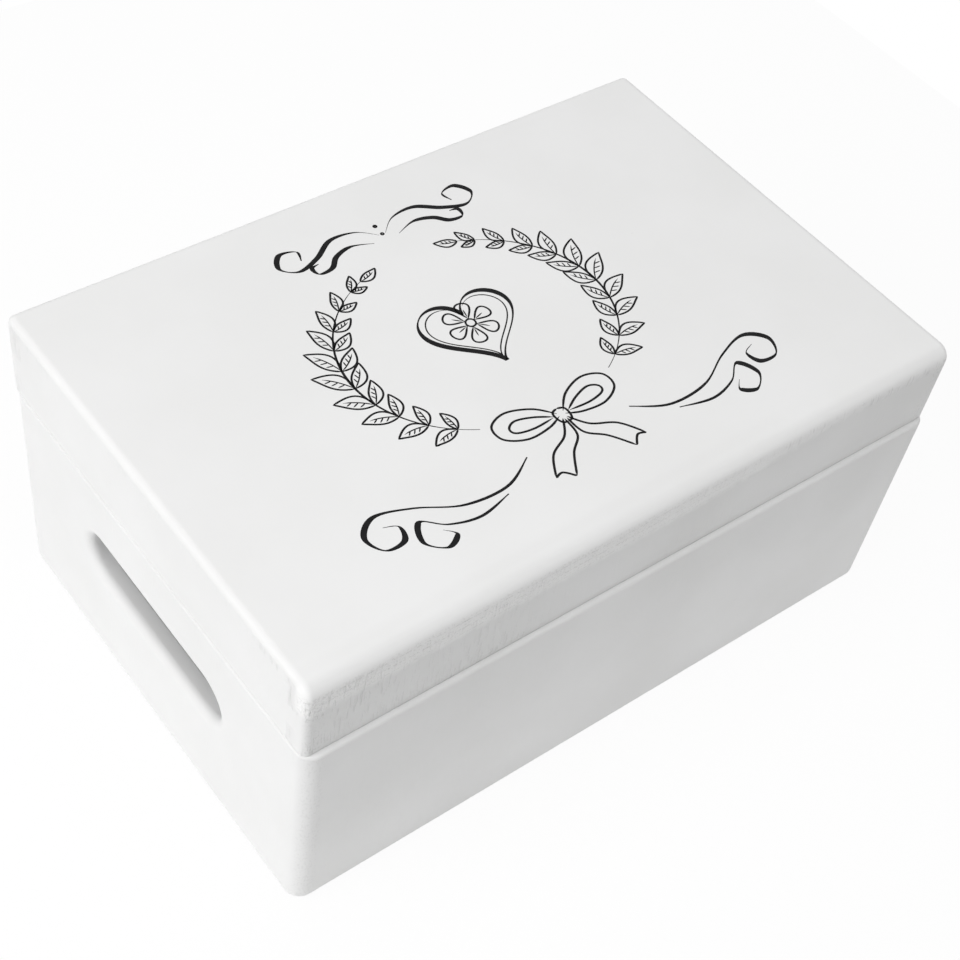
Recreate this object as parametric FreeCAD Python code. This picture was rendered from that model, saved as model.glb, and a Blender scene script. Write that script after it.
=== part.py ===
import FreeCAD, Part
import os

# A painted wooden keepsake box with a hinged lid, in millimetres.
# The origin is the middle of the underside. X runs along the length, the front faces -Y,
# the hinges are on the +Y side and Z points up.

# Box
box_length = 300.0
box_depth = 200.0
box_height = 98.0
wall = 10.0  # thickness of the box walls and of the lid's rails
corner_radius = 7.0  # roundover of the box's upright corners
rim_radius = 1.2  # roundover along the outside of the box's rim
foot_radius = 2.5  # roundover round the underside
inner_ease = 0.8  # eased inner edges of the rim and of the lid's mouth
box_finger_count = 7  # interlocking fingers in each upright corner of the box

# Bottom panel, let into a rebate from below and flush with the underside
bottom_thickness = 4.0
rebate_width = 5.0
panel_clearance = 0.2

# Hand slots through the end walls
slot_length = 93.0
slot_height = 22.0
slot_centre_height = 59.0
slot_edge_radius = 4.0  # roundover of a slot's outer edge
slot_inner_radius = 1.5  # roundover of its inner edge
slot_edge_limit_share = 0.45  # the two roundovers of a slot leave a flat between them

# Lid
lid_gap = 0.2  # between the rim and the closed lid
lid_height = 36.8
lid_top_thickness = 6.0
lid_front_inset = 2.5  # the lid's front stands back behind the front wall
lid_end_inset = 0.5
lid_front_radius = 6.0  # wide roundover along the front edge, where the lid is lifted
lid_edge_radius = 3.0  # roundover of the lid's upright corners and of its end and back edges
lid_lower_ease = 0.3
lid_finger_count = 3

# Butt hinges, let into the rim and into the lid's back rail
hinge_end_distance = 60.0  # from an end of the box to the middle of the nearer hinge
leaf_length = 30.0
leaf_thickness = 1.2
leaf_margin = 1.0  # from a leaf's inner edge to the wall's inner face
leaf_corner_radius = 1.5
mortise_clearance = 0.2
barrel_diameter = 4.6
barrel_clearance = 0.3  # between the barrel and the back of the box
knuckle_count = 5
knuckle_side_gap = 0.15  # taken off each end of a knuckle
pin_diameter = 2.4
pin_overhang = 0.5
pin_end_radius = 0.4
pin_grip = 0.02  # radial, in the knuckles that hold the pin
pin_running_clearance = 0.05  # radial, in the knuckles that turn on it

# Countersunk screws in the hinge leaves
screws_per_leaf = 2
screw_distance = 18.0  # between the middles of neighbouring screws
screw_row_share = 0.5  # place of the screws across a leaf
screw_head_diameter = 4.2
screw_head_height = 1.0
screw_shank_diameter = 2.0
screw_length = 9.0
screw_tip_length = 2.5
screw_clearance = 0.05
recess_width = 0.7  # cross recess for the driver
recess_length = 2.4
recess_depth = 0.5

overrun = 2.0  # how far every cutting shape runs past the face that it cuts
closeness = 0.01  # how near an edge lies to the place where it is looked for

# Places that follow from the sizes
box_x = (-box_length / 2, box_length / 2)
box_y = (-box_depth / 2, box_depth / 2)
box_z = (0, box_height)
box_back = box_y[1]
lid_bottom = box_height + lid_gap
lid_top = lid_bottom + lid_height
lid_x = (box_x[0] + lid_end_inset, box_x[1] - lid_end_inset)
lid_y = (box_y[0] + lid_front_inset, box_back)
lid_z = (lid_bottom, lid_top)
rail_z = (lid_bottom, lid_top - lid_top_thickness)
panel_z = (rail_z[1], lid_top)
slot_z = (slot_centre_height - slot_height / 2, slot_centre_height + slot_height / 2)
box_leaf_z = (box_height - leaf_thickness, box_height)
lid_leaf_z = (lid_bottom, lid_bottom + leaf_thickness)
leaf_width = wall - leaf_margin
leaf_y = (box_back - leaf_width, box_back)
screw_row_y = box_back - leaf_width * screw_row_share
barrel_radius = barrel_diameter / 2
hinge_y = box_back + barrel_clearance + barrel_radius
hinge_z = box_height + lid_gap / 2
hinge_places = {"left": box_x[0] + hinge_end_distance, "right": box_x[1] - hinge_end_distance}
along_x = FreeCAD.Vector(1, 0, 0)
along_z = FreeCAD.Vector(0, 0, 1)


def shrunk(span, amount):
    return (span[0] + amount, span[1] - amount)


def grown(span, amount):
    return (span[0] - amount, span[1] + amount)


def about(middle, size):
    return (middle - size / 2, middle + size / 2)


def block(x_range, y_range, z_range):
    corner = FreeCAD.Vector(x_range[0], y_range[0], z_range[0])
    sizes = [high - low for low, high in (x_range, y_range, z_range)]
    return Part.makeBox(*sizes, corner)


def one_solid(shape):
    return shape.removeSplitter().Solids[0]


def edges_in(solid, x_range, y_range, z_range):
    # the edges that lie wholly inside a region
    region = [grown(span, closeness) for span in (x_range, y_range, z_range)]
    found = []
    for edge in solid.Edges:
        reach = edge.BoundBox
        spans = ((reach.XMin, reach.XMax), (reach.YMin, reach.YMax), (reach.ZMin, reach.ZMax))
        if all(low <= span[0] and span[1] <= high for span, (low, high) in zip(spans, region)):
            found.append(edge)
    return found


def level_edges(solid, x_range, y_range, height):
    return edges_in(solid, x_range, y_range, (height, height))


def is_upright(edge):
    reach = edge.BoundBox
    return reach.ZLength > reach.XLength + reach.YLength


def upright_edges(solid):
    return [edge for edge in solid.Edges if is_upright(edge)]


def box_shell():
    # the four walls as one ring with rounded edges, before it is parted into boards
    ring = block(box_x, box_y, box_z)
    ring = ring.makeFillet(corner_radius, upright_edges(ring))
    ring = ring.makeFillet(rim_radius, level_edges(ring, box_x, box_y, box_height))
    ring = ring.makeFillet(foot_radius, level_edges(ring, box_x, box_y, 0))
    inner_x = shrunk(box_x, wall)
    inner_y = shrunk(box_y, wall)
    ring = ring.cut(block(inner_x, inner_y, grown(box_z, overrun)))
    return ring.makeChamfer(inner_ease, level_edges(ring, inner_x, inner_y, box_height))


def lid_outer_edges(cap):
    # the upright corners, the outlines of both ends and the back's upper edge
    found = level_edges(cap, lid_x, (lid_y[1], lid_y[1]), lid_top)
    for end_x in lid_x:
        outline = edges_in(cap, (end_x, end_x), lid_y, lid_z)
        found += [edge for edge in outline if edge.BoundBox.ZMax > lid_bottom + closeness]
    return found


def lid_shell():
    # the lid as one hollow cap with rounded edges, before it is parted into rails and a panel
    cap = block(lid_x, lid_y, lid_z)
    cap = cap.makeFillet(lid_front_radius, level_edges(cap, lid_x, (lid_y[0], lid_y[0]), lid_top))
    cap = cap.makeFillet(lid_edge_radius, lid_outer_edges(cap))
    cap = cap.makeFillet(lid_lower_ease, level_edges(cap, lid_x, lid_y, lid_bottom))
    inner_x = shrunk(lid_x, wall)
    inner_y = shrunk(lid_y, wall)
    cap = cap.cut(block(inner_x, inner_y, (lid_bottom - overrun, rail_z[1])))
    return cap.makeChamfer(inner_ease, level_edges(cap, inner_x, inner_y, lid_bottom))


def corner_fingers(x_range, y_range, z_range, count, first):
    # every second finger of all four corners, counted from the lowest
    step = (z_range[1] - z_range[0]) / count
    corner_x = ((x_range[0], x_range[0] + wall), (x_range[1] - wall, x_range[1]))
    corner_y = ((y_range[0], y_range[0] + wall), (y_range[1] - wall, y_range[1]))
    fingers = []
    for number in range(first, count, 2):
        finger_z = (z_range[0] + number * step, z_range[0] + (number + 1) * step)
        fingers += [block(side_x, side_y, finger_z) for side_x in corner_x for side_y in corner_y]
    return fingers


def frame_boards(shell, x_range, y_range, z_range, count):
    # parts a ring into four boards with interlocking ends, where the long boards own the even fingers
    even = corner_fingers(x_range, y_range, z_range, count, 0)
    odd = corner_fingers(x_range, y_range, z_range, count, 1)
    front = block(x_range, (y_range[0], y_range[0] + wall), z_range).cut(odd)
    back = block(x_range, (y_range[1] - wall, y_range[1]), z_range).cut(odd)
    left = block((x_range[0], x_range[0] + wall), y_range, z_range).cut(even)
    right = block((x_range[1] - wall, x_range[1]), y_range, z_range).cut(even)
    return [one_solid(shell.common(board)) for board in (front, back, left, right)]


def bottom_panel(clearance, z_range):
    panel_x = grown(shrunk(box_x, wall), rebate_width - clearance)
    panel_y = grown(shrunk(box_y, wall), rebate_width - clearance)
    return block(panel_x, panel_y, z_range)


def slot_cutter(x_range):
    # a long hole with round ends, running along X
    depth = x_range[1] - x_range[0]
    straight_y = about(0, slot_length - slot_height)
    cutter = block(x_range, straight_y, slot_z)
    for end_y in straight_y:
        middle = FreeCAD.Vector(x_range[0], end_y, slot_centre_height)
        cutter = cutter.fuse(Part.makeCylinder(slot_height / 2, depth, middle, along_x))
    return cutter.removeSplitter()


def with_slot(end_wall, x_range):
    # an end wall with its hand slot, rounded over widely on the outer face and slightly on the inner one
    pierced = end_wall.cut(slot_cutter(grown(x_range, overrun)))
    mouth_y = about(0, slot_length)
    inner_x, outer_x = sorted(x_range, key=abs)
    for face_x, edge_radius in ((outer_x, slot_edge_radius), (inner_x, slot_inner_radius)):
        mouth = edges_in(pierced, (face_x, face_x), mouth_y, slot_z)
        pierced = pierced.makeFillet(min(edge_radius, wall * slot_edge_limit_share), mouth)
    return one_solid(pierced)


def leaf_mortise(middle_x, z_range):
    mortise_x = grown(about(middle_x, leaf_length), mortise_clearance)
    return block(mortise_x, (leaf_y[0] - mortise_clearance, box_back + overrun), z_range)


def hinge_rod(x_range, radius):
    start = FreeCAD.Vector(x_range[0], hinge_y, hinge_z)
    return Part.makeCylinder(radius, x_range[1] - x_range[0], start, along_x)


def knuckle_spans(middle_x, first):
    # every second knuckle along the barrel, each a little short of its place
    step = leaf_length / knuckle_count
    start = middle_x - leaf_length / 2
    low_ends = [start + number * step for number in range(first, knuckle_count, 2)]
    return [shrunk((low_end, low_end + step), knuckle_side_gap) for low_end in low_ends]


def hinge_leaf(middle_x, z_range, first_knuckle, bore_clearance):
    # a flat leaf that ends at the back of the box, with knuckles that stand out behind it
    leaf_x = about(middle_x, leaf_length)
    leaf = block(leaf_x, leaf_y, z_range)
    inner_corners = [edge for edge in upright_edges(leaf) if edge.BoundBox.YMax < screw_row_y]
    leaf = leaf.makeFillet(leaf_corner_radius, inner_corners)
    for knuckle_x in knuckle_spans(middle_x, first_knuckle):
        neck = block(knuckle_x, (box_back, hinge_y), z_range)
        leaf = leaf.fuse([neck, hinge_rod(knuckle_x, barrel_radius)])
    return leaf.cut(hinge_rod(grown(leaf_x, overrun), pin_diameter / 2 + bore_clearance))


def hinge_pin(middle_x):
    pin = hinge_rod(grown(about(middle_x, leaf_length), pin_overhang), pin_diameter / 2)
    rims = [edge for edge in pin.Edges if edge.BoundBox.XLength < closeness]
    return pin.makeFillet(pin_end_radius, rims)


def screw_places(middle_x):
    first = middle_x - (screws_per_leaf - 1) / 2 * screw_distance
    return [first + number * screw_distance for number in range(screws_per_leaf)]


def screw_body(place_x, head_z, way, clearance):
    # a countersunk screw along Z from the face of its head: way is 1 upwards and -1 downwards
    head = screw_head_diameter / 2 + clearance
    shank = screw_shank_diameter / 2 + clearance
    shank_end = screw_length - screw_tip_length
    tip = screw_length + clearance
    outline = [(0, 0), (head, 0), (shank, screw_head_height), (shank, shank_end), (0, tip)]
    points = [FreeCAD.Vector(place_x + out, screw_row_y, head_z + way * down) for out, down in outline]
    face = Part.Face(Part.makePolygon(points + points[:1]))
    return face.revolve(points[0], along_z, 360)


def driver_recess(place_x, head_z, way):
    recess_z = sorted((head_z - way * overrun, head_z + way * recess_depth))
    one_way = block(about(place_x, recess_length), about(screw_row_y, recess_width), recess_z)
    other_way = block(about(place_x, recess_width), about(screw_row_y, recess_length), recess_z)
    return [one_way, other_way]


def screw_holes(middle_x, head_z, way):
    return [screw_body(place_x, head_z, way, screw_clearance) for place_x in screw_places(middle_x)]


def screw_group(middle_x, head_z, way):
    screws = []
    for place_x in screw_places(middle_x):
        blank = screw_body(place_x, head_z, way, 0)
        screws.append(one_solid(blank.cut(driver_recess(place_x, head_z, way))))
    return Part.makeCompound(screws)


def box_parts():
    front, back, left, right = frame_boards(box_shell(), box_x, box_y, box_z, box_finger_count)
    pocket = bottom_panel(0, (-overrun, bottom_thickness))
    for middle_x in hinge_places.values():
        back = back.cut([leaf_mortise(middle_x, (box_leaf_z[0], box_height + overrun))])
        back = back.cut(screw_holes(middle_x, box_height, -1))
    left = with_slot(left, (box_x[0], box_x[0] + wall))
    right = with_slot(right, (box_x[1] - wall, box_x[1]))
    return {
        "front_wall": one_solid(front.cut(pocket)),
        "back_wall": one_solid(back.cut(pocket)),
        "left_end_wall": one_solid(left.cut(pocket)),
        "right_end_wall": one_solid(right.cut(pocket)),
        "bottom_panel": bottom_panel(panel_clearance, (0, bottom_thickness)),
    }


def lid_parts():
    cap = lid_shell()
    front, back, left, right = frame_boards(cap, lid_x, lid_y, rail_z, lid_finger_count)
    for middle_x in hinge_places.values():
        back = back.cut([leaf_mortise(middle_x, (lid_bottom - overrun, lid_leaf_z[1]))])
        back = back.cut(screw_holes(middle_x, lid_bottom, 1))
    return {
        "lid_top_panel": one_solid(cap.common(block(lid_x, lid_y, panel_z))),
        "lid_front_rail": front,
        "lid_back_rail": one_solid(back),
        "lid_left_rail": left,
        "lid_right_rail": right,
    }


def hinge_parts(side, middle_x):
    box_leaf = hinge_leaf(middle_x, box_leaf_z, 0, pin_grip)
    lid_leaf = hinge_leaf(middle_x, lid_leaf_z, 1, pin_running_clearance)
    return {
        side + "_hinge_box_leaf": one_solid(box_leaf.cut(screw_holes(middle_x, box_height, -1))),
        side + "_hinge_lid_leaf": one_solid(lid_leaf.cut(screw_holes(middle_x, lid_bottom, 1))),
        side + "_hinge_pin": hinge_pin(middle_x),
        side + "_hinge_box_screws": screw_group(middle_x, box_height, -1),
        side + "_hinge_lid_screws": screw_group(middle_x, lid_bottom, 1),
    }


def write_parts():
    os.makedirs("parts", exist_ok=True)
    parts = {**box_parts(), **lid_parts()}
    for side, middle_x in hinge_places.items():
        parts.update(hinge_parts(side, middle_x))
    for name, shape in parts.items():
        shape.exportStep(os.path.join("parts", name + ".step"))
        print(name, len(shape.Solids), "solids", round(shape.Volume), "mm3, valid:", shape.isValid())


write_parts()
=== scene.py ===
import math

import bpy
import numpy as np
from mathutils import Matrix, Vector


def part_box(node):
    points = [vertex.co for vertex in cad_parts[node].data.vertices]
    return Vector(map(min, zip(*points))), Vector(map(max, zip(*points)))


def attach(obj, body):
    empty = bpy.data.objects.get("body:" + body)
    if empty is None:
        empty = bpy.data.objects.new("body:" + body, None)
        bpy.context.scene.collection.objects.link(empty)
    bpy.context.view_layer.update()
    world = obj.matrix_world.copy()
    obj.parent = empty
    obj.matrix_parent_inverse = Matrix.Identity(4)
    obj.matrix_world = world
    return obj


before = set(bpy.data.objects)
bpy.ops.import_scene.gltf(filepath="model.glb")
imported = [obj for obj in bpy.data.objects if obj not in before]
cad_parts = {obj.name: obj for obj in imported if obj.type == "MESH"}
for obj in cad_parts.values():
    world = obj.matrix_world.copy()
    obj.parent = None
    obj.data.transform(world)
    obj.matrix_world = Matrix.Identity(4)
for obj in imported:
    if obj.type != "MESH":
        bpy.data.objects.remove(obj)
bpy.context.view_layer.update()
print("frame loaded:", len(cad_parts), "nodes")

mm = 0.001  # the scene is in metres


# Camera: the photograph's view, as an orbit round the middle of the underside
cameraSettings = {
    "azimuth": -42.776,
    "elevation": 51.435,
    "roll": 8.613,
    "distance": 743.3 * mm,
    "slideRight": -17.57 * mm,  # sideways and upward step of the camera in its own frame
    "slideUp": -3.96 * mm,
    "sensor": 36.0,
    "focalPixels": 1707.5,
    "imagePixels": 960,
    "centrePixels": (414.1, 568.0),  # where the optical axis meets the picture
    "clipStart": 10 * mm,
}


def makeCamera(s):
    turn, lift, roll = (math.radians(s[key]) for key in ("azimuth", "elevation", "roll"))
    back = Vector((math.sin(turn) * math.cos(lift), -math.cos(turn) * math.cos(lift), math.sin(lift)))
    levelRight = Vector((math.cos(turn), math.sin(turn), 0))
    levelUp = back.cross(levelRight)
    right = levelRight * math.cos(roll) + levelUp * math.sin(roll)
    up = levelUp * math.cos(roll) - levelRight * math.sin(roll)
    data = bpy.data.cameras.new("photoCamera")
    data.sensor_width = s["sensor"]
    data.lens = s["focalPixels"] / s["imagePixels"] * s["sensor"]
    data.clip_start = s["clipStart"]
    centreAcross, centreDown = s["centrePixels"]
    data.shift_x = 0.5 - centreAcross / s["imagePixels"]
    data.shift_y = centreDown / s["imagePixels"] - 0.5
    camera = bpy.data.objects.new("photoCamera", data)
    place = right * s["slideRight"] + up * s["slideUp"] + back * s["distance"]
    camera.matrix_world = Matrix.Translation(place) @ Matrix((right, up, back)).transposed().to_4x4()
    bpy.context.scene.collection.objects.link(camera)
    bpy.context.scene.camera = camera


makeCamera(cameraSettings)
print("camera placed")


# Small tools for node trees
def feed(tree, socket, value):
    if isinstance(value, bpy.types.NodeSocket):
        tree.links.new(value, socket)
    else:
        socket.default_value = value


def addNode(tree, kind, inputs=None, **settings):
    made = tree.nodes.new(kind)
    for name, value in settings.items():
        setattr(made, name, value)
    for name, value in (inputs or {}).items():
        feed(tree, made.inputs[name], value)
    return made


def calc(tree, operation, *values):
    made = addNode(tree, "ShaderNodeMath", operation=operation)
    for socket, value in zip(made.inputs, values):
        feed(tree, socket, value)
    return made.outputs["Value"]


def total(tree, values):
    result = values[0]
    for value in values[1:]:
        result = calc(tree, "ADD", result, value)
    return result


def times(tree, *values):
    result = values[0]
    for value in values[1:]:
        result = calc(tree, "MULTIPLY", result, value)
    return result


def ramp(tree, value, fromLow, fromHigh, toLow=0.0, toHigh=1.0):
    # smooth step of a value from one range to another
    inputs = {"Value": value, "From Min": fromLow, "From Max": fromHigh, "To Min": toLow, "To Max": toHigh}
    return addNode(tree, "ShaderNodeMapRange", inputs, interpolation_type="SMOOTHSTEP").outputs["Result"]


def inMillimetres(tree, place, axes):
    parts = addNode(tree, "ShaderNodeSeparateXYZ", {"Vector": place})
    return [calc(tree, "DIVIDE", parts.outputs[axis], mm) for axis in axes]


def stretched(tree, place, perMm, shift=(0.0, 0.0, 0.0)):
    # object coordinates counted in cells, with so many cells to a millimetre along each axis
    inputs = {"Vector": place, "Scale": [count / mm for count in perMm], "Location": shift}
    return addNode(tree, "ShaderNodeMapping", inputs).outputs["Vector"]


def noise(tree, place, perMm, detail=2.0, shift=(0.0, 0.0, 0.0)):
    # noise centred on zero
    inputs = {"Vector": stretched(tree, place, perMm, shift), "Scale": 1.0, "Detail": detail}
    made = addNode(tree, "ShaderNodeTexNoise", inputs)
    return calc(tree, "SUBTRACT", made.outputs["Fac"], 0.5)


speckCore = 0.4  # a speck is at full height within this share of its size
lotWidth = 0.02  # how softly the lot decides between a cell with a speck and one without


def specks(tree, place, perMm, size, chance):
    # round grains in a cell pattern: size is a share of a cell, chance the share of cells that hold one
    inputs = {"Vector": stretched(tree, place, (perMm,) * 3), "Scale": 1.0}
    cells = addNode(tree, "ShaderNodeTexVoronoi", inputs)
    lot = addNode(tree, "ShaderNodeSeparateColor", {"Color": cells.outputs["Color"]}).outputs["Red"]
    grain = ramp(tree, cells.outputs["Distance"], size, size * speckCore)
    return times(tree, grain, ramp(tree, lot, 1 - chance, 1 - chance + lotWidth))


def twoTones(tree, share, first, second):
    # colour between two tones: the mix node's colours are its inputs 6 and 7 and its output 2
    return addNode(tree, "ShaderNodeMix", {0: share, 6: first, 7: second}, data_type="RGBA").outputs[2]


def newMaterial(name):
    made = bpy.data.materials.new(name)
    made.use_nodes = True
    shader = made.node_tree.nodes["Principled BSDF"]
    return made, made.node_tree, shader


def dress(tree, shader, colour, gloss, height):
    # colour, roughness and a relief whose height is in millimetres
    relief = addNode(tree, "ShaderNodeBump", {"Height": height, "Distance": mm, "Strength": 1.0})
    feed(tree, shader.inputs["Base Color"], colour)
    feed(tree, shader.inputs["Roughness"], gloss)
    feed(tree, shader.inputs["Normal"], relief.outputs["Normal"])


# White paint over wood: what shows is the relief in the film, and all lengths are in millimetres
paintSettings = {
    "light": (0.87, 0.87, 0.868, 1.0),  # the film is a shade darker where it is thin
    "dark": (0.845, 0.845, 0.84, 1.0),
    "film": {"perMm": (0.02, 0.02, 0.02), "detail": 4.0, "shift": (4.0, 4.0, 1.0)},
    "filmLevels": (-0.2, 0.2),
    "markTone": (0.70, 0.70, 0.695, 1.0),  # paint that has sunk into pores and rows of dots
    "speckTone": (0.98, 0.98, 0.98, 1.0),
    "paintedEdgeLightTone": (0.97, 0.97, 0.965, 1.0),  # painted highlight: lighter paint on the lid's front edge, in place of the light that a wider roundover would catch
    "gloss": {"perMm": (0.03, 0.03, 0.03), "detail": 3.0},
    "glossLevels": (-0.2, 0.2),
    "roughness": (0.42, 0.58),
    "grainAcross": 0.9,  # cells to a millimetre
    "grainAlong": 0.02,
    "grainDetail": 3.0,
    "grainHeight": 0.035,
    "peel": {"perMm": (0.8, 0.8, 0.8), "detail": 1.0},
    "peelHeight": 0.010,
    "nibs": {"perMm": 0.045, "size": 0.02, "chance": 0.5},
    "nibHeight": 0.10,
    "dashes": {"perMm": (1.0, 1.0, 0.15), "shift": (3.1, 7.7, 1.3)},
    "dashLevels": (0.0, 0.25),
    "dashSpan": (-60.0, 40.0),
    "dashMarks": 0.7,
    "patches": {"perMm": (0.012, 0.012, 0.02), "shift": (5.0, 2.0, 9.0)},  # where the dashes are strong
    "patchLevels": (-0.12, 0.14),
    "patchShares": (0.25, 1.0),
    "stipple": {"perMm": (1.2, 1.2, 0.7), "detail": 1.0, "shift": (6.0, 3.0, 8.0)},
    "stippleLevels": (0.0, 0.2),
    "stippleHeight": 0.10,  # end grain that shows through near the corners
    "corner": (139.5, 143.5),  # it begins so far to the side of the middle
    "upright": (0.45, 0.05),  # how far the normal of an upright face leans up or down
    "facesAlong": (0.3, 0.8),  # how far the normal of a long face points to the front or the back
}
# Short upright dashes that sanding left, with the shares of their height at the left and the right,
# and the strength of the end grain at the corners
plainBoards = {"dashHeight": 0.05, "dashShares": (1.0, 1.0), "cornerMarks": 0.3}
lidLongBoards = {"dashHeight": 0.17, "dashShares": (1.7, 0.4), "cornerMarks": 0.6}
frontEdge = {
    "reach": (90.0, 93.0),  # the worked zone begins so far in front of the middle
    "joint": 129.0,  # height of the joint between the lid's panel and its front rail
    "fade": (-20.0, 110.0),  # from the rows on the left to the fibre on the right
    "rows": (0.4, -3.0, -6.2),  # dotted rows, from the joint: one above it and two below
    "rowHalf": 0.4,
    "rowHeight": 0.10,
    "rowMarks": 0.6,
    "dots": {"perMm": (1.1, 0.7, 0.7), "shift": (2.0, 5.0, 3.0)},
    "dotLevels": (-0.10, 0.15),
    "between": (-6.2, 2.7),  # stipple round the rows
    "betweenMargin": 1.0,
    "betweenHeight": 0.12,
    "betweenMarks": 0.35,
    "stipple": {"perMm": (1.3, 1.3, 1.3), "detail": 1.0, "shift": (9.0, 1.0, 4.0)},
    "stippleLevels": (0.0, 0.2),
    "fibreReach": (3.2, 1.28),  # raised fibre across the edge, on the right, from none to full
    "fibres": {"perMm": (1.0, 0.15, 0.15), "detail": 3.0, "shift": (1.0, 4.0, 2.0)},
    "fibreLevels": (0.02, 0.2),
    "fibreHeight": 0.20,
    "fibreMarks": 0.6,
    "specks": {"perMm": 0.22, "size": 0.16, "chance": 0.7},
    "speckHeight": 0.22,
    "paintedEdgeLightFoot": (-9.5, -5.0),  # the painted highlight's lower and upper side, from the joint
    "paintedEdgeLightHead": (6.0, 3.5),
    "ragged": {"perMm": (0.3, 0.1, 0.3), "shift": (8.0, 2.0, 6.0)},
    "raggedReach": 5.0,
    "paintedEdgeLightRise": 7.0,  # its lower side climbs towards the right
    "paintedEdgeLightSpan": (0.0, 120.0),
    "fall": (84.0, 94.0),  # the top falls off over these distances in front of the middle
    "fallDepth": 1.6,  # more so on the left
    "fallSpan": (0.0, 140.0),
}


def workedFrontEdge(tree, place, s):
    # the lid's front edge: dotted rows by the joint on the left, raised fibre and specks on the right, and
    # the mask of a painted highlight over the edge
    x, y, z = inMillimetres(tree, place, "XYZ")
    forward = calc(tree, "MULTIPLY", y, -1.0)
    front = ramp(tree, forward, *s["reach"])
    above = calc(tree, "SUBTRACT", z, s["joint"])
    right = ramp(tree, x, *s["fade"])
    left = calc(tree, "SUBTRACT", 1.0, right)

    dots = ramp(tree, noise(tree, place, **s["dots"]), *s["dotLevels"])
    heights, marks = [], []
    for row in s["rows"]:
        away = calc(tree, "ABSOLUTE", calc(tree, "SUBTRACT", above, row))
        dotted = times(tree, ramp(tree, away, s["rowHalf"], 0.0), dots, left)
        marks.append(times(tree, dotted, s["rowMarks"]))
        heights.append(times(tree, dotted, s["rowHeight"]))

    (low, high), margin = s["between"], s["betweenMargin"]
    between = times(tree, ramp(tree, above, low, low + margin), ramp(tree, above, high, high - margin))
    stipple = noise(tree, place, **s["stipple"])
    heights.append(times(tree, between, stipple, left, s["betweenHeight"]))
    marks.append(times(tree, between, ramp(tree, stipple, *s["stippleLevels"]), left, s["betweenMarks"]))

    near = ramp(tree, calc(tree, "ABSOLUTE", above), *s["fibreReach"])
    fibres = noise(tree, place, **s["fibres"])
    heights.append(times(tree, near, fibres, right, s["fibreHeight"]))
    marks.append(times(tree, near, ramp(tree, fibres, *s["fibreLevels"]), right, s["fibreMarks"]))
    grains = times(tree, near, specks(tree, place, **s["specks"]), right, front)
    heights.append(times(tree, grains, s["speckHeight"]))

    # painted highlight: a lighter band over the front edge with a ragged lower side, standing in for the
    # light that a wider roundover would catch on the left
    ragged = times(tree, noise(tree, place, **s["ragged"]), s["raggedReach"])
    foot = calc(tree, "SUBTRACT", above, ramp(tree, x, *s["paintedEdgeLightSpan"], 0.0, s["paintedEdgeLightRise"]))
    foot = ramp(tree, calc(tree, "ADD", foot, ragged), *s["paintedEdgeLightFoot"])
    paintedEdgeLight = times(tree, foot, ramp(tree, above, *s["paintedEdgeLightHead"]), front)
    depth = ramp(tree, x, *s["fallSpan"], -s["fallDepth"], 0.0)
    fallen = times(tree, ramp(tree, forward, *s["fall"]), depth)
    height = calc(tree, "ADD", times(tree, total(tree, heights), front), fallen)
    return height, times(tree, total(tree, marks), front), grains, paintedEdgeLight


def paintedWood(name, grainAxis, s, board, edge=None):
    # paint film on a board: grain runs along one axis, sanding dashes run upright
    made, tree, shader = newMaterial(name)
    coordinate = addNode(tree, "ShaderNodeTexCoord")
    place = coordinate.outputs["Object"]
    facing = addNode(tree, "ShaderNodeSeparateXYZ", {"Vector": coordinate.outputs["Normal"]})
    upright = ramp(tree, calc(tree, "ABSOLUTE", facing.outputs["Z"]), *s["upright"])
    facesAlong = ramp(tree, calc(tree, "ABSOLUTE", facing.outputs["Y"]), *s["facesAlong"])
    x = inMillimetres(tree, place, "X")[0]

    grainCells = [s["grainAcross"]] * 3
    grainCells[grainAxis] = s["grainAlong"]
    grain = noise(tree, place, grainCells, s["grainDetail"])
    dashes = ramp(tree, noise(tree, place, **s["dashes"]), *s["dashLevels"])
    patches = ramp(tree, noise(tree, place, **s["patches"]), *s["patchLevels"], *s["patchShares"])
    share = ramp(tree, x, *s["dashSpan"], *board["dashShares"])
    dashed = times(tree, dashes, patches, upright, share, board["dashHeight"])
    nearCorner = times(tree, ramp(tree, calc(tree, "ABSOLUTE", x), *s["corner"]), facesAlong)
    stipple = noise(tree, place, **s["stipple"])
    pores = ramp(tree, stipple, *s["stippleLevels"])

    heights = [
        times(tree, grain, s["grainHeight"]),
        dashed,
        times(tree, noise(tree, place, **s["peel"]), s["peelHeight"]),
        times(tree, specks(tree, place, **s["nibs"]), s["nibHeight"]),
        times(tree, stipple, nearCorner, upright, s["stippleHeight"]),
    ]
    marks = [
        times(tree, pores, nearCorner, upright, board["cornerMarks"]),
        times(tree, dashed, s["dashMarks"]),
    ]
    film = ramp(tree, noise(tree, place, **s["film"]), *s["filmLevels"])
    tint = twoTones(tree, film, s["dark"], s["light"])
    if edge is not None:
        edgeHeight, edgeMarks, grains, paintedEdgeLight = workedFrontEdge(tree, place, edge)
        heights.append(edgeHeight)
        marks.append(edgeMarks)
        # painted highlight along the lid's front edge
        tint = twoTones(tree, paintedEdgeLight, tint, s["paintedEdgeLightTone"])
        tint = twoTones(tree, grains, tint, s["speckTone"])
    tint = twoTones(tree, total(tree, marks), tint, s["markTone"])
    gloss = ramp(tree, noise(tree, place, **s["gloss"]), *s["glossLevels"], *s["roughness"])
    dress(tree, shader, tint, gloss, total(tree, heights))
    return made


paints = {
    "long": paintedWood("paintLongBoards", 0, paintSettings, plainBoards),
    "end": paintedWood("paintEndBoards", 1, paintSettings, plainBoards),
    "lidLong": paintedWood("paintLidLongBoards", 0, paintSettings, lidLongBoards, frontEdge),
    "lidEnd": paintedWood("paintLidEndBoards", 1, paintSettings, plainBoards),
}


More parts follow.
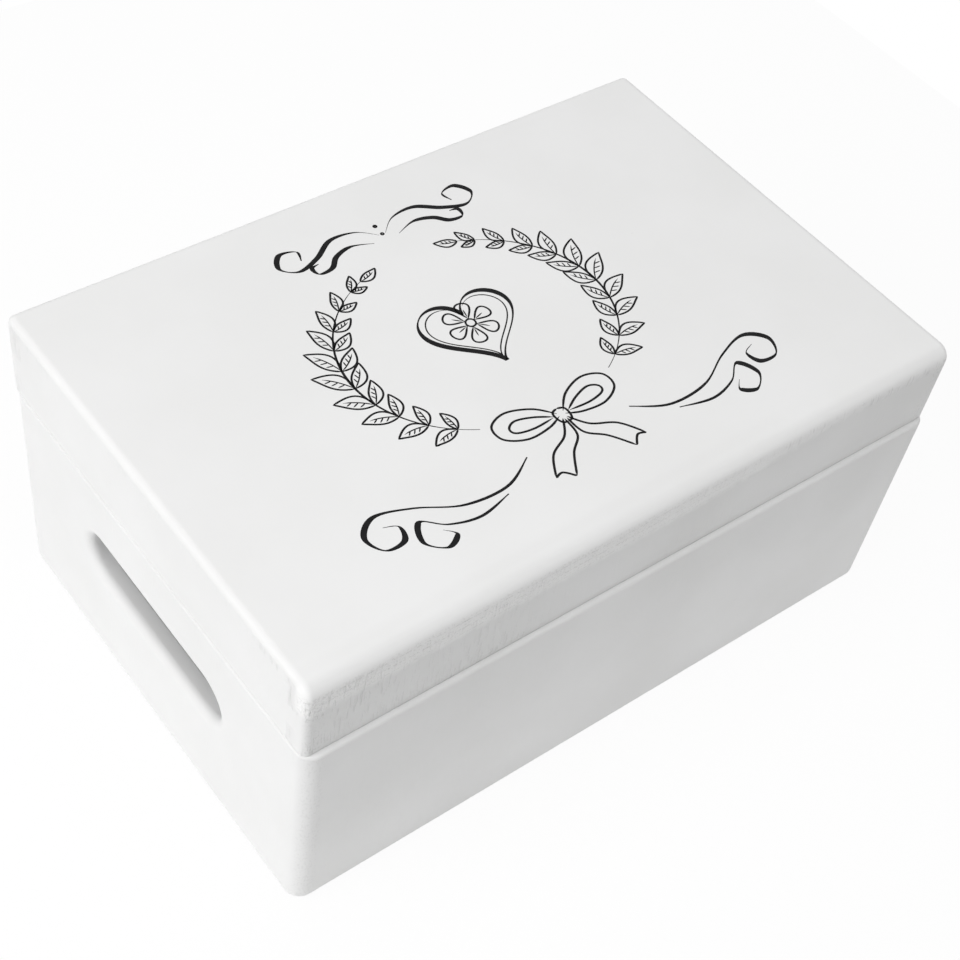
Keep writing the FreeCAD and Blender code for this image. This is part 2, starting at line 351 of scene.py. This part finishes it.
# Thin paint over plywood: the face veneer's pores show as fine lines
plywoodSettings = {
    "light": (0.85, 0.85, 0.845, 1.0),
    "dark": (0.79, 0.785, 0.77, 1.0),
    "roughness": (0.5, 0.7),
    "pores": {"perMm": (0.06, 1.4, 1.4)},
    "poreLevels": (0.05, 0.25),
    "poreHeight": 0.06,
    "figure": {"perMm": (0.004, 0.05, 0.05), "detail": 4.0, "shift": (1.0, 2.0, 0.0)},
    "figureLevels": (-0.2, 0.2),
    "figureHeight": 0.05,
}


def paintedPlywood(s):
    # pores are short lines along the veneer's grain, the figure broad waves across it
    made, tree, shader = newMaterial("paintPlywood")
    place = addNode(tree, "ShaderNodeTexCoord").outputs["Object"]
    pores = ramp(tree, noise(tree, place, **s["pores"]), *s["poreLevels"])
    figure = noise(tree, place, **s["figure"])
    heights = [times(tree, pores, -s["poreHeight"]), times(tree, figure, s["figureHeight"])]
    gloss = ramp(tree, figure, *s["figureLevels"], *s["roughness"])
    dress(tree, shader, twoTones(tree, pores, s["light"], s["dark"]), gloss, total(tree, heights))
    return made


# Plated steel: satin nickel for the hinges, zinc for the screws
platingSettings = {
    "worn": {"perMm": (0.15, 0.15, 0.15), "detail": 4.0, "shift": (2.0, 7.0, 5.0)},
    "wornLevels": (-0.05, 0.15),
    "brushGloss": 0.2,  # how much a stroke of the brush changes the roughness
}
hingeSettings = {
    "name": "nickelSteel",
    "light": (0.66, 0.65, 0.62, 1.0),
    "dark": (0.50, 0.49, 0.46, 1.0),
    "roughness": (0.24, 0.42),
    "brush": (0.04, 3.0, 3.0),  # strokes to a millimetre along each axis
    "brushHeight": 0.006,
    **platingSettings,
}
screwSettings = {
    "name": "zincSteel",
    "light": (0.64, 0.65, 0.66, 1.0),
    "dark": (0.47, 0.48, 0.49, 1.0),
    "roughness": (0.30, 0.52),
    "brush": (1.6, 1.6, 0.3),
    "brushHeight": 0.010,
    **platingSettings,
}


def platedSteel(s):
    # brushed plating with dull, slightly darker patches where it has been handled
    made, tree, shader = newMaterial(s["name"])
    place = addNode(tree, "ShaderNodeTexCoord").outputs["Object"]
    strokes = noise(tree, place, s["brush"])
    worn = ramp(tree, noise(tree, place, **s["worn"]), *s["wornLevels"])
    dulled = ramp(tree, worn, 0.0, 1.0, *s["roughness"])
    gloss = calc(tree, "ADD", dulled, times(tree, strokes, s["brushGloss"]))
    shader.inputs["Metallic"].default_value = 1.0
    tint = twoTones(tree, worn, s["light"], s["dark"])
    dress(tree, shader, tint, gloss, times(tree, strokes, s["brushHeight"]))
    return made


otherMaterials = {
    "painted_plywood": paintedPlywood(plywoodSettings),
    "hinge_steel": platedSteel(hingeSettings),
    "screw_steel": platedSteel(screwSettings),
}


def boardKind(node):
    kind = "End" if "left" in node or "right" in node else "Long"
    return "lid" + kind if node.startswith("lid") else kind.lower()


for node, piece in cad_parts.items():
    slotName = piece.data.materials[0].name
    piece.data.materials[0] = otherMaterials.get(slotName) or paints[boardKind(node)]
print("paint on the boards, plating on the hinges")


# Ornament on the lid: a leaf wreath round a heart, with a bow and pen scrolls, all in black ink lines
ornamentSettings = {
    "centre": (-4.0, 0.0),  # on the lid, millimetres from its middle, like every length here
    "film": 0.02,  # the ink stands so far above the paint, and reaches as far into it
    "lineHalf": 0.42,  # half widths of the pen: plain lines, hair lines and pressed strokes
    "hairHalf": 0.28,
    "pressedHalf": 1.15,
    "stemWidth": 1.3,  # the stem and the bow, in widths of the plain line
    "bowWidth": 1.15,
    "nibAngle": 40.0,
    "nibPower": 1.5,
    "endWidth": 0.15,  # share of its width that a line keeps at its very end
    "endPower": 0.7,
    "curvePoints": 70,
    "wreathHalf": (57.0, 48.0),
    "wreathMiddle": (0.0, 4.0),
    "wreathAngles": (-58.0, 66.0),
    "stemPoints": 120,
    "leafCount": 10,
    "leafSpots": (8, 112),  # points of the stem that carry the first and the last pair
    "leafLengths": (12.0, 17.0, 9.0),  # at the foot, the middle and the tip of a branch
    "leafShares": {-1: 1.0, 1: 0.82},  # the outer and the inner leaf of a pair
    "leafSpread": 48.0,
    "leafClosing": 0.35,  # the pairs close up by this share towards the tip
    "tipLeaf": 10.0,
    "leafPoints": 26,
    "leafWidthShare": 0.21,
    "leafPowers": (0.85, 1.1),  # where a leaf is widest, and how pointed it is
    "leafBend": 0.32,
    "ribPoints": 20,
    "veinStarts": (6, 10, 14),
    "veinStep": 3,
    "veinReach": 0.72,
    "veinPoints": 8,
    "heartScale": 1.25,
    "heartMiddle": (0.0, 7.0),
    "heartPoints": 160,
    "heartGap": 0.02,
    "innerShare": 0.86,
    "innerGap": 14,
    "flowerRise": 1.5,
    "eyeRadius": 2.0,
    "eyePoints": 24,
    "petalCount": 6,
    "petalTurn": 0.3,
    "petalFoot": 2.2,
    "petalLength": 8.5,
    "petalWidthShare": 0.34,
    "petalPower": 0.9,
    "petalPoints": 30,
    "petalVein": (0.12, 0.6),
    "dots": ((71.0, 0.5), (66.0, 0.4)),  # height and half width of the two dots at the top
    "dotRadius": 0.55,
    "dotPoints": 12,
}
# share of a line's length over which it runs out at each end
runOut = {
    "leaf": 0.06, "rib": 0.2, "vein": 0.3, "stem": 0.5, "heart": 0.03,
    "inner": 0.1, "petal": 0.05, "bow": 0.08, "scroll": 0.2,
}
lineAcross = np.array([-1.0, -0.55, 0.55, 1.0, 0.55, -0.55])  # section of an ink line, across and up
lineUp = np.array([0.2, 1.0, 1.0, 0.2, -1.0, -1.0])


def spline(points, count):
    # smooth curve through the points: on each stretch a cubic whose slope follows the neighbours
    p = np.asarray(points, float)
    u = np.linspace(0, len(p) - 1, count)
    i = np.minimum(u.astype(int), len(p) - 2)
    f = (u - i)[:, None]
    before, start, end, after = (p[np.clip(i + k, 0, len(p) - 1)] for k in (-1, 0, 1, 2))
    return 0.5 * (2 * start + (end - before) * f + (2 * before - 5 * start + 4 * end - after) * f ** 2
                  + (3 * start - before - 3 * end + after) * f ** 3)


def headings(path):
    step = np.gradient(path, axis=0)
    return step / np.linalg.norm(step, axis=1, keepdims=True)


def tapered(path, half, line, s):
    # a line of even width that runs out at both ends
    t = np.linspace(0, 1, len(path))
    return half * np.clip(np.minimum(t, 1 - t) / runOut[line], s["endWidth"], 1) ** s["endPower"]


def nibbed(path, line, s):
    # a broad nib: the width follows the sine of the angle between the line and the nib
    way = headings(path)
    angle = np.arctan2(way[:, 1], way[:, 0]) - math.radians(s["nibAngle"])
    pressed = np.abs(np.sin(angle)) ** s["nibPower"]
    half = s["hairHalf"] + (s["pressedHalf"] - s["hairHalf"]) * pressed
    return half * tapered(path, 1.0, line, s)


def mirrored(strokes):
    return strokes + [(path * (-1, 1), half) for path, half in strokes]


def ring(middle, radius, half, count):
    turn = np.linspace(0, 2 * np.pi, count, endpoint=False)
    path = np.array(middle) + radius * np.stack([np.cos(turn), np.sin(turn)], 1)
    return path, np.full(count, half)


def leafStrokes(foot, way, length, s):
    # two bowed edges from foot to tip, a rib and three short veins on one side
    side = np.array((-way[1], way[0]))
    t = np.linspace(0, 1, s["leafPoints"])[:, None]
    spine = foot + way * length * t + side * length * s["leafBend"] * t * (1 - t)
    widest, pointed = s["leafPowers"]
    bulge = length * s["leafWidthShare"] * np.sin(np.pi * t ** widest) ** pointed
    edgeHalf = tapered(spine, s["lineHalf"], "leaf", s)
    strokes = [(spine + side * bulge, edgeHalf), (spine - side * bulge, edgeHalf)]
    rib = spine[:s["ribPoints"]]
    strokes.append((rib, tapered(rib, s["hairHalf"], "rib", s)))
    for start in s["veinStarts"]:
        end = start + s["veinStep"]
        vein = spline([spine[start], spine[end] - side * bulge[end] * s["veinReach"]], s["veinPoints"])
        strokes.append((vein, tapered(vein, s["hairHalf"], "vein", s)))
    return strokes


def branchStrokes(s):
    # a third of an ellipse with leaves in pairs and one at the tip
    turn = np.radians(np.linspace(*s["wreathAngles"], s["stemPoints"]))
    stem = np.array(s["wreathMiddle"]) + np.stack([np.cos(turn), np.sin(turn)], 1) * s["wreathHalf"]
    way = headings(stem)
    strokes = [(stem, tapered(stem, s["lineHalf"] * s["stemWidth"], "stem", s))]
    spots = np.linspace(*s["leafSpots"], s["leafCount"]).astype(int)
    lengths = np.interp(np.linspace(0, 2, s["leafCount"]), (0, 1, 2), s["leafLengths"])
    for number, (spot, length) in enumerate(zip(spots, lengths)):
        spread = s["leafSpread"] * (1 - s["leafClosing"] * number / s["leafCount"])
        for sign, share in s["leafShares"].items():
            swing = math.radians(sign * spread)
            cos, sin = math.cos(swing), math.sin(swing)
            turned = np.array(((cos, -sin), (sin, cos))) @ way[spot]
            strokes += leafStrokes(stem[spot], turned, length * share, s)
    return strokes + leafStrokes(stem[-1], way[-1], s["tipLeaf"], s)


def petalStrokes(foot, way, s):
    # a loop from the foot and back, half a sine long and a whole sine wide, and a vein along it
    side = np.array((-way[1], way[0]))
    t = np.linspace(0, 1, s["petalPoints"])[:, None]
    along = np.sin(np.pi * t) ** s["petalPower"]
    across = s["petalWidthShare"] * np.sin(2 * np.pi * t)
    loop = foot + way * s["petalLength"] * along + side * s["petalLength"] * across
    vein = foot + way * s["petalLength"] * np.linspace(*s["petalVein"], s["veinPoints"])[:, None]
    return [
        (loop, tapered(loop, s["lineHalf"], "petal", s)),
        (vein, tapered(vein, s["hairHalf"], "vein", s)),
    ]


def heartStrokes(s):
    # the well-known heart curve, x a cubed sine and y a sum of four cosines, with a flower inside
    turn = np.linspace(s["heartGap"], 2 * np.pi - s["heartGap"], s["heartPoints"])
    x = 16 * np.sin(turn) ** 3
    y = 13 * np.cos(turn) - 5 * np.cos(2 * turn) - 2 * np.cos(3 * turn) - np.cos(4 * turn)
    outline = np.stack([x, y], 1) * s["heartScale"] + s["heartMiddle"]
    inner = (outline - s["heartMiddle"]) * s["innerShare"] + s["heartMiddle"]
    inner = inner[s["innerGap"]:-s["innerGap"]]
    strokes = [(outline, nibbed(outline, "heart", s)), (inner, tapered(inner, s["hairHalf"], "inner", s))]
    middle = np.array(s["heartMiddle"]) + (0, s["flowerRise"])
    for number in range(s["petalCount"]):
        swing = 2 * math.pi * number / s["petalCount"] + s["petalTurn"]
        way = np.array((math.cos(swing), math.sin(swing)))
        strokes += petalStrokes(middle + way * s["petalFoot"], way, s)
    return strokes, [ring(middle, s["eyeRadius"], s["lineHalf"], s["eyePoints"])]


bowCurves = {
    "loopOuter": [
        (1.5, -45), (8, -38.5), (18, -35), (26, -38),
        (26, -45), (18, -49.5), (8, -49), (1.5, -46.5),
    ],
    "loopInner": [(3.5, -45.6), (10, -42), (17, -40), (21, -42), (20, -45), (13, -46.5), (4, -46)],
    "tailOuter": [(1, -48), (6, -55), (15, -60), (21, -69)],
    "tailInner": [(0.5, -48.5), (1.5, -57), (8, -63), (14, -72)],
    "tailEnd": [(21, -69), (17.5, -68.2), (14, -72)],
    "knot": [(0, -43), (2.6, -44), (3, -47), (2, -49.6), (0, -50)],
}
scrollCurves = {
    "low": [
        (24, -56), (38, -63), (56, -62), (72, -54), (86, -50),
        (94, -56), (91, -64), (83, -64), (81, -58), (86, -55.5),
    ],
    "lowTwin": [(40, -66), (54, -69), (66, -66), (74, -60), (78, -68), (72, -74), (66, -71), (69, -67)],
    "high": [(1.5, 66), (9, 72), (20, 73), (30, 67), (40, 64), (46, 69), (42, 75.5), (35, 74), (36, 69)],
    "highTwin": [(6, 63), (15, 66), (23, 64), (28, 59.5), (34, 59), (35, 63), (31.5, 64)],
}


def ornamentStrokes(s):
    leaves = branchStrokes(s)
    heart, eye = heartStrokes(s)
    bowPaths, scrollPaths = ([spline(points, s["curvePoints"]) for points in curves.values()]
                             for curves in (bowCurves, scrollCurves))
    bow = [(path, tapered(path, s["lineHalf"] * s["bowWidth"], "bow", s)) for path in bowPaths]
    scrolls = [(path, nibbed(path, "scroll", s)) for path in scrollPaths]
    dots = [ring((0, height), s["dotRadius"], half, s["dotPoints"]) for height, half in s["dots"]]
    return mirrored(leaves + bow + scrolls) + heart, eye + dots


def inkLine(path, half, closed, lift, s):
    # carries the section along a path: closed paths join up, open ones end in a point
    n, k = len(path), len(lineAcross)
    way = headings(np.concatenate([path[-2:], path, path[:2]]))[2:-2] if closed else headings(path)
    side = np.stack([-way[:, 1], way[:, 0]], 1)
    flat = path[:, None] + side[:, None] * (half[:, None] * lineAcross)[..., None]
    high = np.broadcast_to(lift + s["film"] * lineUp, (n, k))
    points = np.concatenate([flat, high[..., None]], 2).reshape(-1, 3)
    rows = np.arange(n if closed else n - 1)[:, None]
    a, b = rows * k + np.arange(k), rows * k + (np.arange(k) + 1) % k
    c, d = (b + k) % (n * k), (a + k) % (n * k)
    faces = np.stack([d, c, b, a], 2).reshape(-1, 4).tolist()
    if not closed:
        ends = np.array([[*(path[0] - way[0] * half[0]), lift], [*(path[-1] + way[-1] * half[-1]), lift]])
        points = np.concatenate([points, ends])
        around, last = np.arange(k), (n - 1) * k
        following = (around + 1) % k
        faces += np.stack([around, following, np.full(k, n * k)], 1).tolist()
        faces += np.stack([last + following, last + around, np.full(k, n * k + 1)], 1).tolist()
    return points, faces


def makeOrnament(s, material):
    low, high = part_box("lid_top_panel")
    lift = high.z / mm
    middle = np.array(s["centre"]) + ((low.x + high.x) / 2 / mm, (low.y + high.y) / 2 / mm)
    strokes, rings = ornamentStrokes(s)
    points, faces, count = [], [], 0
    for closed, group in ((False, strokes), (True, rings)):
        for path, half in group:
            linePoints, lineFaces = inkLine(path + middle, half, closed, lift, s)
            points.append(linePoints)
            faces += [[index + count for index in face] for face in lineFaces]
            count += len(linePoints)
    mesh = bpy.data.meshes.new("lid_ornament")
    mesh.from_pydata((np.concatenate(points) * mm).tolist(), [], faces)
    mesh.polygons.foreach_set("use_smooth", np.ones(len(faces), bool))
    mesh.materials.append(material)
    ornament = bpy.data.objects.new("lid_ornament", mesh)
    bpy.context.scene.collection.objects.link(ornament)
    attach(ornament, "lid")
    print("ornament:", len(strokes) + len(rings), "ink lines,", len(faces), "faces")


inkSettings = {
    "colour": (0.004, 0.004, 0.0045, 1.0),
    "specular": 0.15,
    "gloss": {"perMm": (0.4, 0.4, 0.4), "detail": 3.0},
    "glossLevels": (-0.2, 0.2),
    "roughness": (0.5, 0.75),
}


def blackInk(s):
    # printed ink: a little glossier where it lies thick
    made, tree, shader = newMaterial("blackInk")
    place = addNode(tree, "ShaderNodeTexCoord").outputs["Object"]
    gloss = ramp(tree, noise(tree, place, **s["gloss"]), *s["glossLevels"], *s["roughness"])
    shader.inputs["Base Color"].default_value = s["colour"]
    shader.inputs["Specular IOR Level"].default_value = s["specular"]
    feed(tree, shader.inputs["Roughness"], gloss)
    return made


makeOrnament(ornamentSettings, blackInk(inkSettings))


# Floor, light and background, with all lengths in metres
stageSettings = {
    "floorAcross": (-1.2, 0.45),  # from left to right, longer on the side of the key light
    "floorDeep": (-0.45, 0.45),  # from front to back
    "floorColour": (0.97, 0.97, 0.97, 1.0),
    "floorGlow": 0.92,  # how far the floor is washed out to white for the camera
    "ambient": 0.42,
    "horizon": (-0.05, 0.05),  # the sky's light begins between these heights of the ray
}
lampSettings = {
    "keyLight": {"place": (-1.3, 0.0, 0.9), "target": (0, 0, 0.07), "size": 1.0, "power": 10.8},
    "topLight": {"place": (0.0, -0.1, 1.6), "target": (0, 0, 0.07), "size": 1.2, "power": 7.8},
}


def seenDirectly(tree):
    # one for rays that show the background: straight from the camera, mirrored or passed through
    path = addNode(tree, "ShaderNodeLightPath")
    rays = [path.outputs[key] for key in ("Is Camera Ray", "Is Glossy Ray", "Is Transmission Ray")]
    return calc(tree, "MAXIMUM", calc(tree, "MAXIMUM", rays[0], rays[1]), rays[2])


def makeFloor(s):
    (left, right), (front, back) = s["floorAcross"], s["floorDeep"]
    corners = [(left, front, 0), (right, front, 0), (right, back, 0), (left, back, 0)]
    mesh = bpy.data.meshes.new("floor")
    mesh.from_pydata(corners, [], [(0, 1, 2, 3)])
    floor = bpy.data.objects.new("floor", mesh)
    bpy.context.scene.collection.objects.link(floor)
    made = bpy.data.materials.new("paleFloor")
    made.use_nodes = True
    tree = made.node_tree
    tree.nodes.clear()
    matt = addNode(tree, "ShaderNodeBsdfDiffuse", {"Color": s["floorColour"]})
    white = addNode(tree, "ShaderNodeEmission", {"Strength": 1.0})
    share = calc(tree, "MULTIPLY", seenDirectly(tree), s["floorGlow"])
    mixed = addNode(tree, "ShaderNodeMixShader", {0: share, 1: matt.outputs[0], 2: white.outputs[0]})
    addNode(tree, "ShaderNodeOutputMaterial", {"Surface": mixed.outputs[0]})
    mesh.materials.append(made)


def makeWorld(s):
    # white where it is seen directly, and an even light from above the horizon
    world = bpy.data.worlds.new("studio")
    world.use_nodes = True
    tree = world.node_tree
    background = tree.nodes["Background"]
    background.inputs["Color"].default_value = (1, 1, 1, 1)
    direction = addNode(tree, "ShaderNodeTexCoord").outputs["Generated"]
    rise = addNode(tree, "ShaderNodeSeparateXYZ", {"Vector": direction}).outputs["Z"]
    sky = ramp(tree, rise, *s["horizon"], 0.0, s["ambient"])
    feed(tree, background.inputs["Strength"], calc(tree, "MAXIMUM", seenDirectly(tree), sky))
    bpy.context.scene.world = world


def makeSoftbox(name, s):
    data = bpy.data.lights.new(name, "AREA")
    data.shape = "SQUARE"
    data.size = s["size"]
    data.energy = s["power"]
    lamp = bpy.data.objects.new(name, data)
    aim = Vector(s["target"]) - Vector(s["place"])
    lamp.location = s["place"]
    lamp.rotation_euler = aim.to_track_quat("-Z", "Y").to_euler()
    bpy.context.scene.collection.objects.link(lamp)


makeFloor(stageSettings)
makeWorld(stageSettings)
for lampName, lampSet in lampSettings.items():
    makeSoftbox(lampName, lampSet)
bpy.context.scene.view_settings.view_transform = "Standard"
print("stage lit")
